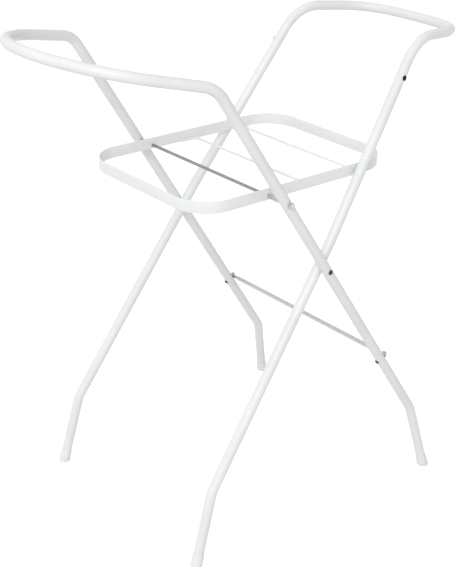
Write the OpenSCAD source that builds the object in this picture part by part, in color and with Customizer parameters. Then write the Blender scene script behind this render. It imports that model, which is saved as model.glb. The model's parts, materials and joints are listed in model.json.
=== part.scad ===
// Folding stand for a baby bath: two bent tube frames that cross like scissors,
// and a flat shelf band that hangs between their legs.
// X runs from the outer frame's bow to the inner frame's bow, Y runs across and Z up.
// The floor is Z = 0, and the origin is under the middle of the whole outline.

/* [Tube] */
// Outside diameter of the frame tube
tube_d = 19; // [17:0.5:23]
// Wall of the frame tube
tube_wall = 1.2; // [1:0.1:1.6]

/* [Leg profile] */
// Height of the corner between leg and bow
corner_h = 882; // [700:1:1100]
// Distance along the depth from the crossing to that corner
corner_out = 254; // [200:1:320]
// Height of the crossing
pivot_h = 510; // [420:1:620]
// Height of the kink in the lower leg
kink_h = 141; // [110:1:180]
// How far the foot stands out past the kink
foot_splay = 37; // [25:1:50]
// Bend radius at the kink
kink_r = 60; // [40:1:90]

/* [Outer frame] */
// Half width at the corners
outer_corner_hw = 198.5; // [180:0.5:240]
// Half width at the kinks
outer_kink_hw = 231.5; // [205:0.5:280]
// Half width at the feet
outer_foot_hw = 251.5; // [220:0.5:300]
// Reach of the bow past the corners
outer_reach = 224.5; // [200:0.5:260]
// Upward tilt of the bow
outer_tilt = 12.2; // [0:0.1:20]
// Angle at which the bow's arms draw in
outer_taper = 16; // [8:0.5:20]
// Bend radius at the corners
outer_corner_r = 56; // [40:1:75]

/* [Inner frame] */
// Free gap between the crossing tubes
crossing_gap = 2.8; // [2.4:0.1:5]
// How far the corners lie inside the crossing
inner_corner_in = 37; // [25:0.5:50]
// How far the kinks lie outside the crossing
inner_kink_out = 18; // [10:0.5:30]
// How far the feet lie outside the crossing
inner_foot_out = 23; // [15:0.5:40]
// Height above the crossing where the legs start to draw in
elbow_rise = 42; // [30:1:70]
// Bend radius at those elbows
elbow_r = 150; // [100:10:250]
// Reach of the bow past the corners
inner_reach = 171.5; // [150:0.5:205]
// Downward tilt of the bow
inner_tilt = 4.7; // [0:0.1:10]
// Angle at which the bow's arms draw in
inner_taper = 11.5; // [8:0.5:15]
// Bend radius at the corners
inner_corner_r = 84; // [60:1:95]
// Radius of the rail's two ends
rail_end_r = 85; // [70:1:100]
// Radius of the gently curved rail
rail_r = 576; // [450:1:700]

/* [Shelf] */
// Height of the shelf rod above the crossing
shelf_rise = 150; // [120:1:180]
// Height of the band
band_h = 21.5; // [18:0.5:28]
// Thickness of the band
band_t = 2.2; // [1.8:0.1:3]
// How far the band runs past the rod, under the outer bow
band_behind = 153.5; // [140:0.1:200]
// How far the band runs past the studs, under the inner bow
band_past = 106; // [104:0.1:140]
// Outer radius of the band's corners
band_corner_r = 66; // [45:0.5:67]
// Free gap between the band and the inner frame's legs
band_gap = 5.6; // [5:0.1:8]
// Height of the rod above the band's lower edge
rod_seat = 6.7; // [4.2:0.1:8]
// Diameter of the shelf wires
wire_d = 4.8; // [3:0.1:5.5]
// Distance from the crossing to the middle wire
wire_middle_x = 0.6; // [-20:0.1:20]
// Distance from the studs to the end wire
wire_end_off = 21; // [10:0.1:22]
// Bend radius at the wires' ends
wire_bend_r = 12; // [8:1:16]
// Straight tab at each end of the middle wire
wire_middle_tab = 24; // [8:1:40]
// Straight tab at each end of the end wire
wire_end_tab = 6; // [4:1:7]

/* [Hooks] */
// Diameter of the hook studs
stud_d = 6; // [5:0.5:7]
// Height of the studs' axis above the band's lower edge
stud_seat = 2; // [1:0.5:4]
// How far the studs reach past the band
stud_past = 2.6; // [2:0.1:5]
// Clearance around a stud in its notch
notch_gap = 0.4; // [0.3:0.05:0.6]
// How much flatter the notch's ramp is than the stud's way out
ramp_ease = 4.5; // [3:0.5:8]

/* [Rod and pivot hardware] */
// Diameter of the rod and of the pivot rivets
rod_d = 6; // [5:0.5:7]
// Radial clearance of the rod and rivets in their holes
run_gap = 0.08; // [0.05:0.01:0.1]
// Side clearance of the band between its sleeves, and of the tubes on their rivets
side_gap = 0.25; // [0.2:0.05:0.5]
// Clearance where round tubes carry flat heads and washers
seat_gap = 0.05; // [0.03:0.01:0.1]
// Width across the flats of the cap nuts
nut_af = 10; // [9:0.5:12]
// Outside diameter of the rod sleeves
sleeve_d = 9; // [8.5:0.1:11]
// Diameter of the washers
washer_d = 12; // [11:0.5:14]
// Thickness of the washers
washer_t = 1; // [0.8:0.1:1.6]
// Height of the hexagon on a cap nut
cap_hex_h = 4.2; // [3.5:0.1:6]
// Diameter of a pivot rivet's outer head
head_d = 9.5; // [9:0.5:12]
// Height of a pivot rivet's outer head
head_h = 2.8; // [2:0.1:4]
// Diameter of the end formed inside the inner frame's tube
upset_d = 9; // [8.5:0.5:11]
// Height of that formed end
upset_h = 1.8; // [1.2:0.1:2.5]
// Diameter of the plastic spacers at the crossings
spacer_d = 13; // [11:0.5:14]

/* [Cross bar] */
// Height above the floor at which the bar is screwed to the legs
bar_h = 284.5; // [240:0.5:330]
// Diameter of the bar
bar_d = 9; // [7:0.5:10]
// Thickness of its flattened ends
bar_flat_t = 2.6; // [2:0.1:3.5]
// Width of its flattened ends
bar_flat_w = 13; // [11:0.5:16]
// Length over which the bar flattens
bar_neck = 18; // [12:1:25]
// Diameter of the bar's screws
screw_d = 5; // [4:0.5:6]
// Width across the flats of the screws' nuts
screw_nut_af = 8; // [7:0.5:10]

/* [Feet and plugs] */
// Wall of the foot caps
cap_wall = 1.45; // [1.2:0.05:3]
// Length of the foot caps along the leg
cap_len = 25; // [18:1:35]
// Plastic under the tube's end
cap_floor = 7; // [6:0.5:10]
// Radial clearance of a cap on its tube
cap_fit = 0.05; // [0.02:0.01:0.1]
// Chamfer around the sole
sole_edge = 2.4; // [1.5:0.1:3]
// How far the small plugs in the inner frame's upper legs lie below its corners
plug_drop = 65; // [45:1:200]
// Diameter of a plug's head
plug_d = 10; // [8:0.5:12]
// Angle of the plugs around the leg, from under it towards its outer side
plug_turn = 90; // [0:1:90]

/* [Hidden] */
$fn = 64;

paint = "whitesmoke";
plastic = "gainsboro";
zinc = "silver";
dark_zinc = "dimgray";

tube_r = tube_d / 2;
bore_d = tube_d - 2 * tube_wall;
reach_through = 2 * outer_foot_hw + 2 * tube_d;

// A bend swells by this share of the tube's diameter
bend_swell = 0.016;
// How far straight runs reach into their bends, and shanks into their heads
join_in = 0.2;

// Small chamfer on hardware edges
edge = 0.5;
// How far a cut runs past the faces that it goes through
cut = 1;
// Share of a nut's width across the flats that its dome takes
dome_share = 0.92;
// How far a screw's end stands out of its nut
thread_end = 1.2;

// Side profile, shared by both frames. lean is the legs' angle from upright.
lean = atan(corner_out / (corner_h - pivot_h));
kink_x = (pivot_h - kink_h) * tan(lean);
foot_x = kink_x + foot_splay;
pivot_x = (outer_reach * cos(outer_tilt) - inner_reach * cos(inner_tilt)) / 2;

function mix(a, b, t) = a + (b - a) * t;
function unit(v) = v / norm(v);
function across(v, axis) = unit(v - (v * axis) * axis);

// A point by its depth from the crossing, its side (-1 left, 1 right), half width and height
function place(x, side, hw, z) = [pivot_x + x, side * hw, z];

// Half widths of the two frames' legs at a height above the kinks
function outer_hw(z) = mix(outer_corner_hw, outer_kink_hw, (corner_h - z) / (corner_h - kink_h));
inner_cross_hw = outer_hw(pivot_h) - tube_d - crossing_gap;
elbow_h = pivot_h + elbow_rise;
inner_corner_hw = inner_cross_hw - inner_corner_in;
inner_elbow_hw = inner_cross_hw - inner_kink_out * elbow_rise / (pivot_h - kink_h);
function inner_hw(z) = z > elbow_h
    ? mix(inner_elbow_hw, inner_corner_hw, (z - elbow_h) / (corner_h - elbow_h))
    : mix(inner_cross_hw, inner_cross_hw + inner_kink_out, (pivot_h - z) / (pivot_h - kink_h));

// Corner and foot points of the frames, on the tube's centre line
function outer_corner(side) = place(-corner_out, side, outer_corner_hw, corner_h);
function outer_kink(side) = place(kink_x, side, outer_kink_hw, kink_h);
function outer_foot(side) = place(foot_x, side, outer_foot_hw, 0);
function inner_corner(side) = place(corner_out, side, inner_corner_hw, corner_h);
function inner_elbow(side) = place(elbow_rise * tan(lean), side, inner_elbow_hw, elbow_h);
function inner_kink(side) = place(-kink_x, side, inner_cross_hw + inner_kink_out, kink_h);
function inner_foot(side) = place(-foot_x, side, inner_cross_hw + inner_foot_out, 0);

// The tube stops short of the floor, inside its cap
function tube_end(kink, foot) = foot + unit(kink - foot) * cap_floor;

// The outer bow is one arc between its two arms, which would meet at bow_tip
outer_bow_r = (outer_corner_hw * cos(outer_taper) - outer_reach * sin(outer_taper))
    / (1 - sin(outer_taper));
bow_tip = outer_corner_hw / tan(outer_taper);

// The inner bow is a rail of a large radius with a tighter arc at each end.
// rail_turn is half the angle that the rail itself covers, and rail_join the short
// straight between its arcs.
rail_join = 1.5;
rail_turn = asin((inner_corner_hw * cos(inner_taper) - rail_end_r
    - (inner_reach - rail_r) * sin(inner_taper)) / (rail_r - rail_end_r)) - inner_taper;
rail_tip = inner_reach - rail_r + rail_r / cos(rail_turn);
rail_tip_in = (inner_corner_hw - rail_tip * tan(inner_taper))
    / (1 / tan(rail_turn) - tan(inner_taper));
rail_end_u = rail_tip - rail_tip_in;
rail_end_v = rail_tip_in / tan(rail_turn);

// Points on the bows' planes: u out from the corners, v across
function outer_bow(u, v) = [pivot_x - corner_out - u * cos(outer_tilt), v,
    corner_h + u * sin(outer_tilt)];
function inner_bow(u, v) = [pivot_x + corner_out + u * cos(inner_tilt), v,
    corner_h - u * sin(inner_tilt)];

// Each path is a list of points with the bend radius at each
function outer_path() = [
    [tube_end(outer_kink(-1), outer_foot(-1)), 0],
    [outer_kink(-1), kink_r],
    [outer_corner(-1), outer_corner_r],
    [outer_bow(bow_tip, 0), outer_bow_r],
    [outer_corner(1), outer_corner_r],
    [outer_kink(1), kink_r],
    [tube_end(outer_kink(1), outer_foot(1)), 0]
];
function inner_path() = [
    [tube_end(inner_kink(-1), inner_foot(-1)), 0],
    [inner_kink(-1), kink_r],
    [inner_elbow(-1), elbow_r],
    [inner_corner(-1), inner_corner_r],
    [inner_bow(rail_end_u, -rail_end_v), rail_end_r],
    [inner_bow(rail_tip, 0), rail_r - rail_join / tan(rail_turn)],
    [inner_bow(rail_end_u, rail_end_v), rail_end_r],
    [inner_corner(1), inner_corner_r],
    [inner_elbow(1), elbow_r],
    [inner_kink(1), kink_r],
    [tube_end(inner_kink(1), inner_foot(1)), 0]
];

// How far the tubes lean out of the X-Z plane, and where a flat disc of radius r touches one
outer_lean = atan((outer_kink_hw - outer_corner_hw) * cos(lean) / (corner_h - kink_h));
inner_lean = atan(inner_kink_out * cos(lean) / (pivot_h - kink_h));
function seat(r, side_lean) = tube_r / cos(side_lean) + r * tan(side_lean) + seat_gap;
function inside_seat(r, side_lean) = sqrt(bore_d * bore_d / 4 - r * r) - r * tan(side_lean) - seat_gap;

// Shelf. The notch's flanks lie flank_in inside its round seat.
rod_z = pivot_h + shelf_rise;
rod_x = -shelf_rise * tan(lean);
band_z = rod_z - rod_seat;
stud_z = band_z + stud_seat;
stud_x = (stud_z - pivot_h) * tan(lean);
band_back = band_behind - rod_x;
band_front = stud_x + band_past;
band_hw = inner_hw(rod_z) - tube_r - band_gap;
stud_in = band_hw - band_t - stud_past;
stud_out = inner_hw(stud_z) - tube_r + 2 * tube_wall;
wire_y = band_hw - band_t - wire_d * (1 + bend_swell) / 2;
wire_end_x = stud_x + wire_end_off;
notch_r = stud_d / 2 + notch_gap;
flank_in = 0.1;
ramp = lean - ramp_ease;

// Pivot rivets and rod hardware, as distances from the middle. A rivet's formed end lies
// inside the inner frame's tube, on the wall that faces the outer frame.
rivet_head_y = outer_hw(pivot_h) + seat(head_d / 2, outer_lean);
rivet_upset_y = inner_cross_hw + inside_seat(upset_d / 2, inner_lean) - side_gap;
spacer_t = crossing_gap - spacer_d * tan(inner_lean) - side_gap;
sleeve_in_y = band_hw + side_gap;
sleeve_out_y = outer_hw(rod_z) - seat(sleeve_d / 2, outer_lean);
rod_washer_y = outer_hw(rod_z) + seat(washer_d / 2, outer_lean);
rod_cap_y = rod_washer_y + washer_t;
rod_end_y = rod_cap_y + cap_hex_h;
dome_r = nut_af / 2 * dome_share;

// Cross bar: its flats lie on the legs' outer side, square to the legs
bar_off = tube_r + bar_flat_t / 2 + seat_gap;
bar_x = (pivot_h - bar_h) * tan(lean);
bar_hw = outer_hw(bar_h);
bar_round_hw = bar_hw - tube_r - bar_neck;
screw_head_h = 2.6;
screw_head_d = 9;
screw_nut_h = 3.6;

// Foot caps and plugs
cap_d = tube_d + 2 * (cap_fit + cap_wall);
plug_h = corner_h - plug_drop;
plug_stem_d = 6;
plug_head_h = 1.6;
plug_stem_h = 3;

// ---- helpers ----

// Children stand on point a with their Z axis towards point b
module along(a, b) {
    v = b - a;
    translate(a)
        rotate([0, acos(v.z / norm(v)), atan2(v.y, v.x)])
            children();
}

// Children stand outward on one side, at distance y from the middle
module outward(x, side, y, z) {
    translate(place(x, side, y, z))
        rotate([-90 * side, 0, 0])
            children();
}

module both_sides() {
    for (side = [-1, 1]) {
        $side = side;
        children();
    }
}

// Length that a bend takes from each of the two runs that meet in it
function bend_turn(a, b, c) = 180 - acos(unit(a - b) * unit(c - b));
function bend_take(path, i) = path[i][1] == 0 ? 0
    : path[i][1] * tan(bend_turn(path[i - 1][0], path[i][0], path[i + 1][0]) / 2);

module tube_ring(d, bore) {
    difference() {
        circle(d = d);
        if (bore > 0)
            circle(d = bore);
    }
}

// A round bend of radius r at b, between the runs from a and to c
module bend(a, b, c, r, d, bore) {
    turn = bend_turn(a, b, c);
    swell = d * bend_swell;
    start = b + unit(a - b) * r * tan(turn / 2);
    centre = b + unit(unit(a - b) + unit(c - b)) * r / cos(turn / 2);
    ex = unit(start - centre);
    ey = unit(b - a);
    ez = cross(ex, ey);
    multmatrix([
        [ex.x, ey.x, ez.x, centre.x],
        [ex.y, ey.y, ez.y, centre.y],
        [ex.z, ey.z, ez.z, centre.z],
        [0, 0, 0, 1]])
        rotate_extrude(angle = turn, $fn = 180)
            translate([r, 0])
                tube_ring(d + swell, bore - swell);
}

// How far from point i of a path its straight runs begin
function run_gap_at(path, i) = path[i][1] == 0 ? 0 : bend_take(path, i) - join_in;

// Tube or rod along a path of points and bend radii
module bent_tube(path, d, bore = 0) {
    for (i = [0 : len(path) - 2]) {
        a = path[i][0];
        b = path[i + 1][0];
        start = a + unit(b - a) * run_gap_at(path, i);
        along(start, b)
            linear_extrude(norm(b - a) - run_gap_at(path, i) - run_gap_at(path, i + 1))
                tube_ring(d, bore);
    }
    for (i = [1 : len(path) - 2])
        bend(path[i - 1][0], path[i][0], path[i + 1][0], path[i][1], d, bore);
}

// Disc with chamfered rims
module chamfered_disc(d, h, c = edge) {
    rotate_extrude()
        polygon([[0, 0], [d / 2 - c, 0], [d / 2, c], [d / 2, h - c], [d / 2 - c, h], [0, h]]);
}

// Hexagon prism with its corners turned down at both ends
module hex_body(af, h) {
    intersection() {
        cylinder(d = af / cos(30), h = h, $fn = 6);
        chamfered_disc(af / cos(30), h, (af / cos(30) - af) / 2 * dome_share);
    }
}

module hex_nut(af, h, bore) {
    difference() {
        hex_body(af, h);
        translate([0, 0, -cut])
            cylinder(d = bore, h = h + 2 * cut);
    }
}

// Shallow domed head on the plane Z = 0, and the start of its shank below that plane
module domed_head(d, h, shank_d) {
    ball_r = (d * d / 4 + h * h) / (2 * h);
    intersection() {
        translate([0, 0, h - ball_r])
            sphere(r = ball_r, $fn = 96);
        cylinder(d = d, h = h);
    }
    translate([0, 0, -join_in])
        cylinder(d = shank_d, h = 2 * join_in);
}

// Cross hole through both legs of a frame
module cross_hole(x, z, d, hw = reach_through) {
    translate([pivot_x + x, -hw, z])
        rotate([-90, 0, 0])
            cylinder(d = d, h = 2 * hw);
}

// Children at the cross bar's axis: Z out of the flats, X down the leg
module at_bar() {
    translate([pivot_x + bar_x, 0, bar_h])
        rotate([0, 90 - lean, 0])
            children();
}

// ---- frames ----

module outer_frame() {
    color(paint)
        difference() {
            bent_tube(outer_path(), tube_d, bore_d);
            cross_hole(0, pivot_h, rod_d + 2 * run_gap);
            cross_hole(rod_x, rod_z, rod_d + 2 * run_gap);
            at_bar()
                both_sides()
                    translate([0, $side * bar_hw, -tube_d])
                        cylinder(d = screw_d + 2 * run_gap, h = 2 * tube_d);
        }
}

module inner_frame() {
    color(paint)
        difference() {
            bent_tube(inner_path(), tube_d, bore_d);
            cross_hole(stud_x, stud_z, stud_d + 2 * seat_gap, inner_hw(stud_z));
            both_sides() {
                outward(0, $side, inner_cross_hw, pivot_h)
                    cylinder(d = rod_d + 2 * run_gap, h = tube_d);
                at_plug($side)
                    cylinder(d = plug_stem_d + 2 * seat_gap, h = tube_d);
            }
        }
}

// ---- feet ----

module foot_cap(kink, foot) {
    slant_r = cap_d / 2 + sole_edge;
    color(plastic)
        intersection() {
            difference() {
                along(foot, kink)
                    translate([0, 0, -cap_d])
                        chamfered_disc(cap_d, cap_len + cap_d);
                along(foot, kink)
                    translate([0, 0, cap_floor])
                        cylinder(d = tube_d + 2 * cap_fit, h = cap_len);
            }
            translate([foot.x, foot.y, 0])
                rotate_extrude()
                    polygon([[0, 0], [cap_d / 2 - sole_edge / 2, 0], [slant_r, sole_edge],
                        [2 * slant_r, sole_edge], [2 * slant_r, 2 * cap_len], [0, 2 * cap_len]]);
        }
}

module outer_foot_cap_left() foot_cap(outer_kink(-1), outer_foot(-1));
module outer_foot_cap_right() foot_cap(outer_kink(1), outer_foot(1));
module inner_foot_cap_left() foot_cap(inner_kink(-1), inner_foot(-1));
module inner_foot_cap_right() foot_cap(inner_kink(1), inner_foot(1));

// ---- scissor pivots ----

module pivot_rivets() {
    color(dark_zinc)
        both_sides() {
            outward(0, $side, rivet_head_y, pivot_h)
                domed_head(head_d, head_h, rod_d);
            outward(0, $side, rivet_upset_y, pivot_h)
                mirror([0, 0, 1])
                    domed_head(upset_d, upset_h, rod_d);
            outward(0, $side, rivet_upset_y, pivot_h)
                cylinder(d = rod_d, h = rivet_head_y - rivet_upset_y);
        }
}

module pivot_spacers() {
    color(plastic)
        both_sides()
            outward(0, $side, outer_hw(pivot_h) - tube_r - crossing_gap / 2 - spacer_t / 2, pivot_h)
                difference() {
                    cylinder(d = spacer_d, h = spacer_t);
                    translate([0, 0, -cut])
                        cylinder(d = rod_d + 2 * run_gap, h = spacer_t + 2 * cut);
                }
}

// ---- shelf ----

module rounded_plate(x0, x1, hw, r) {
    translate([x0 + r, -hw])
        square([x1 - x0 - 2 * r, 2 * hw]);
    translate([x0, r - hw])
        square([x1 - x0, 2 * hw - 2 * r]);
    for (x = [x0 + r, x1 - r], y = [r - hw, hw - r])
        translate([x, y])
            circle(r = r, $fn = 128);
}

// Side view of a notch around the stud, open downwards with a ramp towards the rod
module notch_shape() {
    drop = stud_seat + notch_r;
    flank = notch_r - flank_in;
    ramp_x = -flank * sin(ramp);
    ramp_z = flank * cos(ramp);
    circle(r = notch_r);
    polygon([[ramp_x, ramp_z], [0, 0], [flank, 0], [flank, -drop],
        [ramp_x - (ramp_z + drop) / tan(ramp), -drop]]);
}

module shelf_band() {
    color(paint)
        difference() {
            translate([pivot_x, 0, band_z])
                linear_extrude(band_h)
                    difference() {
                        rounded_plate(-band_back, band_front, band_hw, band_corner_r);
                        rounded_plate(band_t - band_back, band_front - band_t,
                            band_hw - band_t, band_corner_r - band_t);
                    }
            cross_hole(rod_x, rod_z, rod_d + 2 * run_gap);
            translate([pivot_x + stud_x, band_hw + cut, stud_z])
                rotate([90, 0, 0])
                    linear_extrude(2 * band_hw + 2 * cut)
                        notch_shape();
        }
}

// A wire across the shelf at depth x, its ends bent along the band and welded to it.
// way is the side to which they are bent: -1 towards the outer bow, 1 towards the inner bow.
module shelf_wire(x, way, tab) {
    wire_z = band_z + wire_d / 2;
    tab_x = x + way * (wire_bend_r + tab);
    color(paint)
        bent_tube([
            [place(tab_x, -1, wire_y, wire_z), 0],
            [place(x, -1, wire_y, wire_z), wire_bend_r],
            [place(x, 1, wire_y, wire_z), wire_bend_r],
            [place(tab_x, 1, wire_y, wire_z), 0]
        ], wire_d);
}

module shelf_wire_middle() shelf_wire(wire_middle_x, -1, wire_middle_tab);
module shelf_wire_end() shelf_wire(wire_end_x, 1, wire_end_tab);

// ---- shelf rod ----

module shelf_rod() {
    color(zinc)
        translate([pivot_x + rod_x, -rod_end_y, rod_z])
            rotate([-90, 0, 0])
                chamfered_disc(rod_d, 2 * rod_end_y);
}

module rod_sleeves() {
    color(zinc)
        both_sides()
            outward(rod_x, $side, sleeve_in_y, rod_z)
                difference() {
                    chamfered_disc(sleeve_d, sleeve_out_y - sleeve_in_y);
                    translate([0, 0, -cut])
                        cylinder(d = rod_d + 2 * run_gap, h = sleeve_out_y);
                }
}

module rod_washers() {
    color(zinc)
        both_sides()
            outward(rod_x, $side, rod_washer_y, rod_z)
                difference() {
                    cylinder(d = washer_d, h = washer_t);
                    translate([0, 0, -cut])
                        cylinder(d = rod_d + 2 * run_gap, h = washer_t + 2 * cut);
                }
}

module rod_cap_nuts() {
    color(zinc)
        both_sides()
            outward(rod_x, $side, rod_cap_y, rod_z)
                difference() {
                    union() {
                        hex_body(nut_af, cap_hex_h);
                        translate([0, 0, cap_hex_h])
                            intersection() {
                                sphere(r = dome_r, $fn = 96);
                                cylinder(r = dome_r, h = dome_r);
                            }
                    }
                    translate([0, 0, -cut])
                        cylinder(d = rod_d + 2 * seat_gap, h = cap_hex_h + cut + seat_gap);
                }
}

module hook_studs() {
    color(paint)
        both_sides()
            outward(stud_x, $side, stud_in, stud_z)
                chamfered_disc(stud_d, stud_out - stud_in);
}

// ---- cross bar ----

module cross_bar() {
    color(zinc)
        at_bar()
            translate([0, 0, bar_off])
                difference() {
                    union() {
                        rotate([90, 0, 0])
                            cylinder(d = bar_d, h = 2 * bar_round_hw, center = true);
                        both_sides()
                            bar_end();
                    }
                    both_sides()
                        translate([0, $side * bar_hw, -bar_flat_t])
                            cylinder(d = screw_d + 2 * run_gap, h = 2 * bar_flat_t);
                }
}

// The neck flattens from round to flat, and the flat has a round end about its screw
module bar_end() {
    flat_start = bar_round_hw + bar_neck;
    hull() {
        translate([0, $side * bar_round_hw, 0])
            rotate([90, 0, 0])
                cylinder(d = bar_d, h = edge, center = true, $fn = 32);
        translate([0, $side * flat_start, 0])
            cube([bar_flat_w, edge, bar_flat_t], center = true);
    }
    translate([0, 0, -bar_flat_t / 2])
        linear_extrude(bar_flat_t) {
            translate([0, $side * bar_hw])
                circle(d = bar_flat_w);
            translate([-bar_flat_w / 2, min($side * flat_start, $side * bar_hw)])
                square([bar_flat_w, bar_hw - flat_start]);
        }
}

module cross_bar_screws() {
    head_z = -tube_r - seat_gap;
    tip_z = bar_off + bar_flat_t / 2 + screw_nut_h + thread_end;
    color(dark_zinc)
        at_bar()
            both_sides()
                translate([0, $side * bar_hw, 0]) {
                    translate([0, 0, head_z])
                        mirror([0, 0, 1])
                            domed_head(screw_head_d, screw_head_h, screw_d);
                    translate([0, 0, head_z])
                        cylinder(d = screw_d, h = tip_z - head_z);
                }
}

module cross_bar_nuts() {
    color(zinc)
        at_bar()
            both_sides()
                translate([0, $side * bar_hw, bar_off + bar_flat_t / 2])
                    hex_nut(screw_nut_af, screw_nut_h, screw_d + 2 * seat_gap);
}

// ---- plugs in the inner frame's upper legs ----

module at_plug(side) {
    axis = unit(inner_corner(side) - inner_elbow(side));
    spot = place((plug_h - pivot_h) * tan(lean), side, inner_hw(plug_h), plug_h);
    under = [cos(lean), 0, -sin(lean)];
    way = across(under * cos(plug_turn) + [0, side, 0] * sin(plug_turn), axis);
    along(spot, spot + way)
        children();
}

module tube_plugs() {
    color("black")
        both_sides()
            at_plug($side)
                translate([0, 0, tube_r + seat_gap]) {
                    domed_head(plug_d, plug_head_h, plug_stem_d);
                    translate([0, 0, -plug_stem_h])
                        cylinder(d = plug_stem_d, h = plug_stem_h);
                }
}

outer_frame();
inner_frame();
outer_foot_cap_left();
outer_foot_cap_right();
inner_foot_cap_left();
inner_foot_cap_right();
pivot_rivets();
pivot_spacers();
shelf_band();
shelf_wire_middle();
shelf_wire_end();
shelf_rod();
rod_sleeves();
rod_washers();
rod_cap_nuts();
hook_studs();
cross_bar();
cross_bar_screws();
cross_bar_nuts();
tube_plugs();
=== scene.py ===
import json
import math
import bmesh
import bpy
from mathutils import Matrix, Vector


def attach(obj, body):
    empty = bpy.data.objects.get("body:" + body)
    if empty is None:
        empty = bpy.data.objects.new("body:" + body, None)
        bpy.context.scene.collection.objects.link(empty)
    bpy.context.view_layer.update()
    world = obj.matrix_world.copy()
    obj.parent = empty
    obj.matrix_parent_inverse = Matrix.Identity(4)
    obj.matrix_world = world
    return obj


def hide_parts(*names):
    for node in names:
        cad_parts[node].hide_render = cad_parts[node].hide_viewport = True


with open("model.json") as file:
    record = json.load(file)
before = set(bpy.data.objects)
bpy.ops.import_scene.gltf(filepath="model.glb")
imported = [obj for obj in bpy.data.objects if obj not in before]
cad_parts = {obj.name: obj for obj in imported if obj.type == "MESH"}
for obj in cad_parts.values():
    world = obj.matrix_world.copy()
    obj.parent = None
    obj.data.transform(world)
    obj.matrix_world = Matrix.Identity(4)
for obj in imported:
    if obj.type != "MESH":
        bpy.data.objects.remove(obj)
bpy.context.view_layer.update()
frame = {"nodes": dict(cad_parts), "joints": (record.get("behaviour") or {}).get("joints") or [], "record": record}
JOINTS = {j["name"]: j for j in frame["joints"]}
MM = 0.001
TINY = 1e-7
SIDES = (-1, 1)  # left and right, as the sign of Y

# ---- the stand's sizes, as in its CAD model, in metres and radians ----
#
# _H is a height, over the floor or of the piece itself, _HW a half width across the stand, _T a
# thickness, _R a radius, _D a diameter and _AF a width across flats.

# Tubes: they turn at the corners from legs to bows, and at the kinks towards the feet
TUBE_R = 9.5 * MM
TUBE_WALL = 1.2 * MM
CORNER_H = 882 * MM
CORNER_OUT = 254 * MM
KINK_H = 141 * MM
FOOT_SPLAY = 37 * MM
KINK_R = 60 * MM

# Outer frame and its bow
OUTER_CORNER_HW = 198.5 * MM
OUTER_KINK_HW = 231.5 * MM
OUTER_FOOT_HW = 251.5 * MM
OUTER_REACH = 224.5 * MM
OUTER_TILT = math.radians(12.2)
OUTER_TAPER = math.radians(16)
OUTER_CORNER_R = 56 * MM

# Inner frame and its bow, placed from the outer one at the crossing
CROSSING_GAP = 2.8 * MM
INNER_CORNER_IN = 37 * MM
INNER_KINK_OUT = 18 * MM
INNER_FOOT_OUT = 23 * MM
ELBOW_RISE = 42 * MM
ELBOW_R = 150 * MM
INNER_REACH = 171.5 * MM
INNER_TILT = math.radians(4.7)
INNER_TAPER = math.radians(11.5)
INNER_CORNER_R = 84 * MM
RAIL_END_R = 85 * MM
RAIL_R = 576 * MM
RAIL_JOIN = 1.5 * MM

# Shelf: the strip, its wires, and the studs in its notches
BAND_H = 21.5 * MM
BAND_T = 2.2 * MM
BAND_BEHIND = 153.5 * MM
BAND_PAST = 106 * MM
BAND_CORNER_R = 66 * MM
BAND_GAP = 5.6 * MM
ROD_SEAT = 6.7 * MM
WIRE_D = 4.8 * MM
WIRE_MIDDLE_X = 0.6 * MM
WIRE_END_OFF = 21 * MM
WIRE_BEND_R = 12 * MM
WIRE_SWELL = 0.016
WIRE_MIDDLE_TAB = 24 * MM
WIRE_END_TAB = 6 * MM
STUD_D = 6 * MM
STUD_SEAT = 2 * MM
STUD_PAST = 2.6 * MM
NOTCH_GAP = 0.4 * MM
NOTCH_FLANK_IN = 0.1 * MM
RAMP_EASE = math.radians(4.5)

# Rod, pivots and what is turned on them
ROD_D = 6 * MM
RUN_GAP = 0.08 * MM
SIDE_GAP = 0.25 * MM
SEAT_GAP = 0.05 * MM
NUT_AF = 10 * MM
SLEEVE_D = 9 * MM
WASHER_D = 12 * MM
WASHER_T = 1 * MM
CAP_HEX_H = 4.2 * MM
HEAD_D = 9.5 * MM
HEAD_H = 2.8 * MM
UPSET_D = 9 * MM
UPSET_H = 1.8 * MM
SPACER_D = 13 * MM

# Cross bar and its screws
BAR_H = 284.5 * MM
BAR_D = 9 * MM
BAR_FLAT_T = 2.6 * MM
BAR_FLAT_W = 13 * MM
BAR_NECK = 18 * MM
SCREW_D = 5 * MM
SCREW_HEAD_D = 9 * MM
SCREW_HEAD_H = 2.6 * MM
SCREW_NUT_AF = 8 * MM
SCREW_NUT_H = 3.6 * MM
THREAD_END = 1.2 * MM

# Foot caps
CAP_R = 11 * MM
CAP_LEN = 25 * MM
CAP_FLOOR = 7 * MM
CAP_BORE_R = 9.55 * MM

# Plugs in the inner frame's upper legs; at a quarter turn they point straight outward
PLUG_DROP = 65 * MM
PLUG_D = 10 * MM
PLUG_HEAD_H = 1.6 * MM
PLUG_STEM_D = 6 * MM
PLUG_STEM_H = 3 * MM
PLUG_TURN = math.radians(90)

# Places that follow from these and from the joints
PIVOT_X, _, PIVOT_H = JOINTS["frame_fold"]["pos_m"]
ROD_X, _, ROD_Z = JOINTS["shelf_tilt"]["pos_m"]
LEAN = math.atan(CORNER_OUT / (CORNER_H - PIVOT_H))
KINK_X = (PIVOT_H - KINK_H) * math.tan(LEAN)
FOOT_X = KINK_X + FOOT_SPLAY
BAND_Z = ROD_Z - ROD_SEAT


def mix(a, b, t):
    return a + (b - a) * t


def place(x, side, half_width, z):
    """A point by its depth from the crossing, side, half width and height."""
    return Vector((PIVOT_X + x, side * half_width, z))


def outer_hw(z):
    """Half width across the outer legs' centre lines at a height."""
    return mix(OUTER_CORNER_HW, OUTER_KINK_HW, (CORNER_H - z) / (CORNER_H - KINK_H))


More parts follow.
